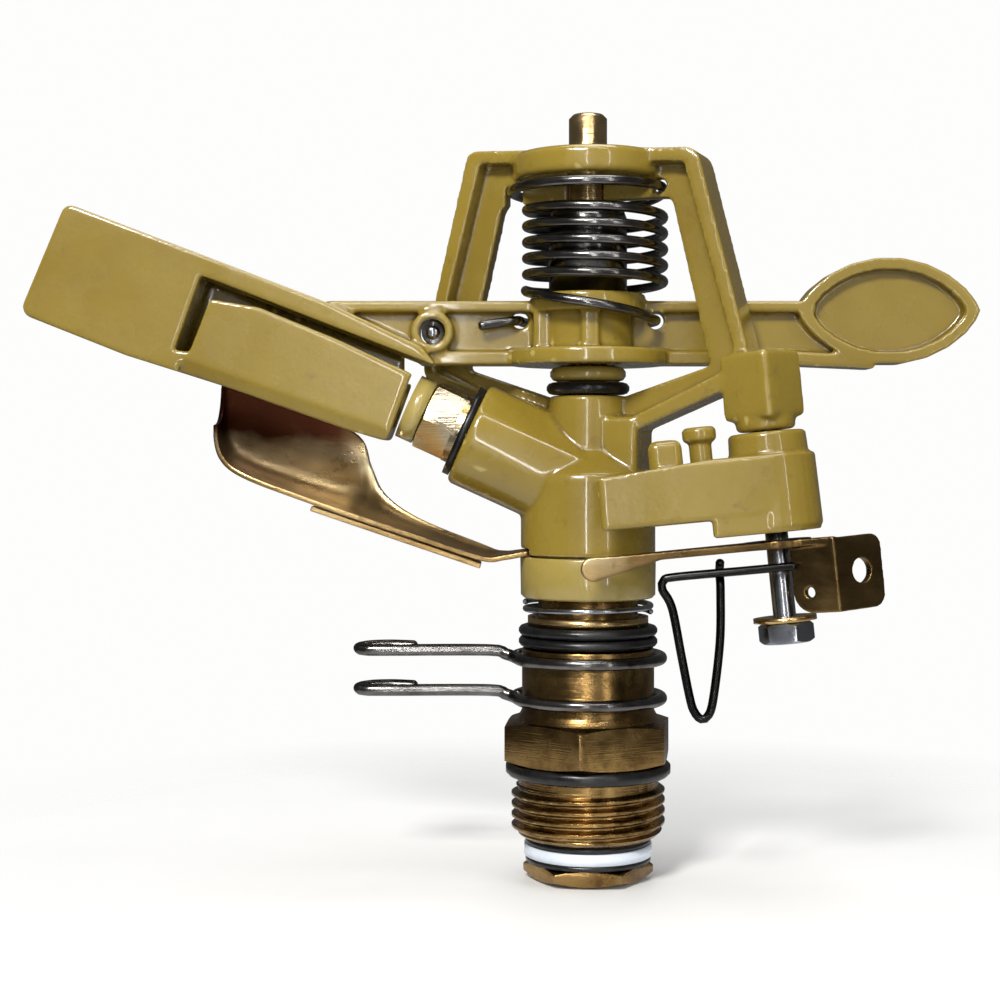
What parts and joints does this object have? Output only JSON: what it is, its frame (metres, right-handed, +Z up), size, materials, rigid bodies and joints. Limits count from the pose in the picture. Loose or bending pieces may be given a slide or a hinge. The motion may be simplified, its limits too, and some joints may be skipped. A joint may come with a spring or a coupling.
{
  "type": "impact sprinkler",
  "caption": "Impact sprinkler on a threaded inlet: sprung swing arm with a deflecting vane, tilted nozzle, sheet deflector and a trip wire that reverses part-circle turning.",
  "frame": {"origin": "On the riser's axis, at the lower end of the spindle foot that sits inside the supply fitting.", "axes": "+Z up along the riser's axis; -X is the side that the barrel and the vane point to; -Y is the front, where the trip lever is."},
  "size_m": [0.1629, 0.0377, 0.1312],
  "materials": {
    "olive_enamel": "gloss olive enamel over die-cast metal",
    "brass": "turned brass, slightly tarnished",
    "sheet_brass": "rolled sheet brass with scuffs",
    "spring_steel": "dark drawn spring wire",
    "black_wire": "black oxide wire",
    "zinc_plate": "bright zinc plate",
    "black_rubber": "moulded black rubber",
    "white_ptfe": "white PTFE"
  },
  "bodies": {
    "bearing": {"inlet_nipple": "brass", "inlet_washer": "black_rubber"},
    "head": {"spindle_tube": "brass", "spindle_washer_lower": "black_rubber", "spindle_washer_ptfe": "white_ptfe", "spindle_washer_upper": "black_rubber", "dust_washer_lower": "black_rubber", "dust_washer_upper": "black_rubber", "thrust_ring": "brass", "bearing_spring": "zinc_plate", "bearing_housing": "olive_enamel", "head_casting": "olive_enamel", "fulcrum_pin": "brass", "column_seal": "black_rubber", "arm_thrust_washer": "olive_enamel", "nozzle": "brass", "nozzle_seal": "black_rubber", "nozzle_collar": "olive_enamel", "deflector_spoon": "sheet_brass", "deflector_stay": "sheet_brass", "pivot_bolt": "zinc_plate", "bolt_washer": "brass"},
    "collar_upper": {"friction_collar_upper": "spring_steel"},
    "collar_lower": {"friction_collar_lower": "spring_steel"},
    "arm": {"arm": "olive_enamel", "arm_bushing": "brass", "spring_sleeve": "spring_steel", "arm_screw": "zinc_plate", "arm_spring": "spring_steel"},
    "trip_lever": {"trip_lever": "olive_enamel"},
    "trip_cam": {"trip_cam": "sheet_brass", "trip_wire": "black_wire", "trip_spring": "spring_steel"}
  },
  "joints": [
    {"name": "head_spin", "type": "hinge", "parent": "bearing", "child": "head", "pos_m": [0, 0, 0.044], "axis": [0, 0, 1], "continuous": true},
    {"name": "collar_upper_spin", "type": "hinge", "parent": "bearing", "child": "collar_upper", "pos_m": [0, 0, 0.0376], "axis": [0, 0, 1], "continuous": true},
    {"name": "collar_lower_spin", "type": "hinge", "parent": "bearing", "child": "collar_lower", "pos_m": [0, 0, 0.0307], "axis": [0, 0, 1], "continuous": true},
    {"name": "arm_swing", "type": "hinge", "parent": "head", "child": "arm", "pos_m": [0, 0, 0.0946], "axis": [0, 0, 1], "range_deg": [0, 110], "stiffness_Nm_per_rad": 0.02, "deforming": ["arm_spring"]},
    {"name": "trip_cam_swing", "type": "hinge", "parent": "head", "child": "trip_cam", "pos_m": [0.0286, -0.0131, 0.079], "axis": [-0.0943, 0.0362, 0.9949], "range_deg": [0, 20]},
    {"name": "trip_lever_swing", "type": "hinge", "parent": "head", "child": "trip_lever", "pos_m": [0.0286, -0.0131, 0.079], "axis": [-0.0943, 0.0362, 0.9949], "range_deg": [0, 15]}
  ],
  "couplings": [
    {"joint": "trip_lever_swing", "follows": "trip_cam_swing", "ratio": 0.75}
  ]
}
